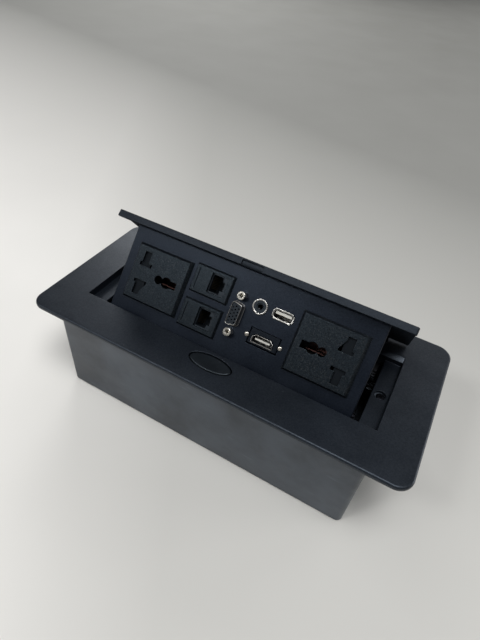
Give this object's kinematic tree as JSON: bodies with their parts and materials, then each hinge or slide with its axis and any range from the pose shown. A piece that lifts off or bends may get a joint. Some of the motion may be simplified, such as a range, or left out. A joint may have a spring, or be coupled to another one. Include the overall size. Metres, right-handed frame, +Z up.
{
  "type": "pop up desk socket",
  "caption": "Flush desktop box with a sprung flip-up panel of universal mains sockets, network, video, audio, charging and display ports, released by an oval push button.",
  "frame": {"origin": "centre of the box's underside", "axes": "+X along the long side, +Y towards the hinge at the rear, +Z up"},
  "size_m": [0.268, 0.12, 0.119],
  "materials": {
    "frame_coat": "matte fine-grained powder coat",
    "lid_coat": "matte fine-grained powder coat",
    "panel_coat": "matte fine-grained powder coat",
    "box_coat": "satin coat, slightly mottled",
    "button_plastic": "satin black",
    "dark_steel": "matte coat on sheet steel",
    "pin_steel": "turned",
    "spring_steel": "drawn wire and spring strip",
    "bush_plastic": "black acetal",
    "gear_plastic": "black acetal",
    "inner_plastic": "moulded",
    "black_screw": "blackened",
    "zinc_screw": "zinc-plated",
    "nickel_screw": "nickel-plated",
    "grommet_rubber": "matte",
    "socket_plastic": "fine grain with a slight sparkle",
    "shutter_plastic": "moulded",
    "contact_brass": "stamped",
    "module_plastic": "fine grain with a slight sparkle",
    "jack_plastic": "moulded",
    "contact_gold": "gold-plated wire",
    "nickel_shell": "nickel-plated pressing",
    "insert_plastic": "moulded",
    "tongue_plastic": "moulded",
    "hdmi_coat": "matte coat"
  },
  "bodies": {
    "base": {"frame": "frame_coat", "bottom_box": "box_coat", "cable_grommets": "grommet_rubber", "frame_screws": "black_screw", "hinge_bracket_left": "dark_steel", "hinge_bracket_right": "dark_steel", "bracket_screws": "zinc_screw", "hinge_pin_left": "pin_steel", "hinge_pin_right": "pin_steel", "pin_clips": "spring_steel", "torsion_spring": "spring_steel", "damper_body": "inner_plastic", "latch_housing": "inner_plastic", "latch_housing_screws": "zinc_screw", "latch_spring": "spring_steel", "button_springs": "spring_steel"},
    "flip_module": {"audio_bezel": "nickel_shell", "audio_jack": "jack_plastic", "face_panel": "panel_coat", "hdmi_plate": "hdmi_coat", "hdmi_screws": "nickel_screw", "hdmi_shell": "nickel_shell", "hdmi_tongue": "tongue_plastic", "lid": "lid_coat", "lid_screws": "zinc_screw", "module_housing": "dark_steel", "module_screws": "black_screw", "network_lower_bezel": "module_plastic", "network_lower_jack": "jack_plastic", "network_lower_wires": "contact_gold", "network_upper_bezel": "module_plastic", "network_upper_jack": "jack_plastic", "network_upper_wires": "contact_gold", "pivot_bush_left": "bush_plastic", "pivot_bush_right": "bush_plastic", "sector_gear": "gear_plastic", "side_arm_left": "dark_steel", "side_arm_right": "dark_steel", "socket_left_body": "inner_plastic", "socket_left_contacts": "contact_brass", "socket_left_cover": "socket_plastic", "socket_left_shutter_spring": "spring_steel", "socket_right_body": "inner_plastic", "socket_right_contacts": "contact_brass", "socket_right_cover": "socket_plastic", "socket_right_shutter_spring": "spring_steel", "usb_shell": "nickel_shell", "usb_tongue": "tongue_plastic", "video_insert": "insert_plastic", "video_jackscrews": "nickel_screw", "video_shell": "nickel_shell"},
    "button": {"button_cap": "button_plastic"},
    "latch": {"latch_slider": "gear_plastic"},
    "damper_rotor": {"damper_pinion": "gear_plastic"},
    "shutter_left": {"socket_left_shutter": "shutter_plastic"},
    "shutter_right": {"socket_right_shutter": "shutter_plastic"}
  },
  "joints": [
    {"name": "flip_hinge", "type": "hinge", "parent": "base", "child": "flip_module", "pos_m": [0, 0.0414, 0.0529], "axis": [1, 0, 0], "range_deg": [0, 50.5], "stiffness_Nm_per_rad": 0.35, "springref_deg": -91.67, "deforming": ["torsion_spring"]},
    {"name": "button_press", "type": "slide", "parent": "base", "child": "button", "axis": [0, 0, -1], "range_m": [0, 0.0016], "stiffness_N_per_m": 500, "springref_m": -0.002, "deforming": ["button_springs"]},
    {"name": "latch_slide", "type": "slide", "parent": "base", "child": "latch", "axis": [0, -1, 0], "range_m": [0, 0.0016], "stiffness_N_per_m": 300, "springref_m": -0.002, "deforming": ["latch_spring"]},
    {"name": "damper_spin", "type": "hinge", "parent": "base", "child": "damper_rotor", "pos_m": [0, 0.0314, 0.03558], "axis": [1, 0, 0], "range_deg": [-202, 0]},
    {"name": "shutter_left_slide", "type": "slide", "parent": "flip_module", "child": "shutter_left", "axis": [1, 0, 0], "range_m": [0, 0.0072], "stiffness_N_per_m": 60, "springref_m": -0.003, "deforming": ["socket_left_shutter_spring"]},
    {"name": "shutter_right_slide", "type": "slide", "parent": "flip_module", "child": "shutter_right", "axis": [-1, 0, 0], "range_m": [0, 0.0072], "stiffness_N_per_m": 60, "springref_m": -0.003, "deforming": ["socket_right_shutter_spring"]}
  ],
  "couplings": [
    {"joint": "latch_slide", "follows": "button_press", "ratio": 1},
    {"joint": "damper_spin", "follows": "flip_hinge", "ratio": -4}
  ]
}
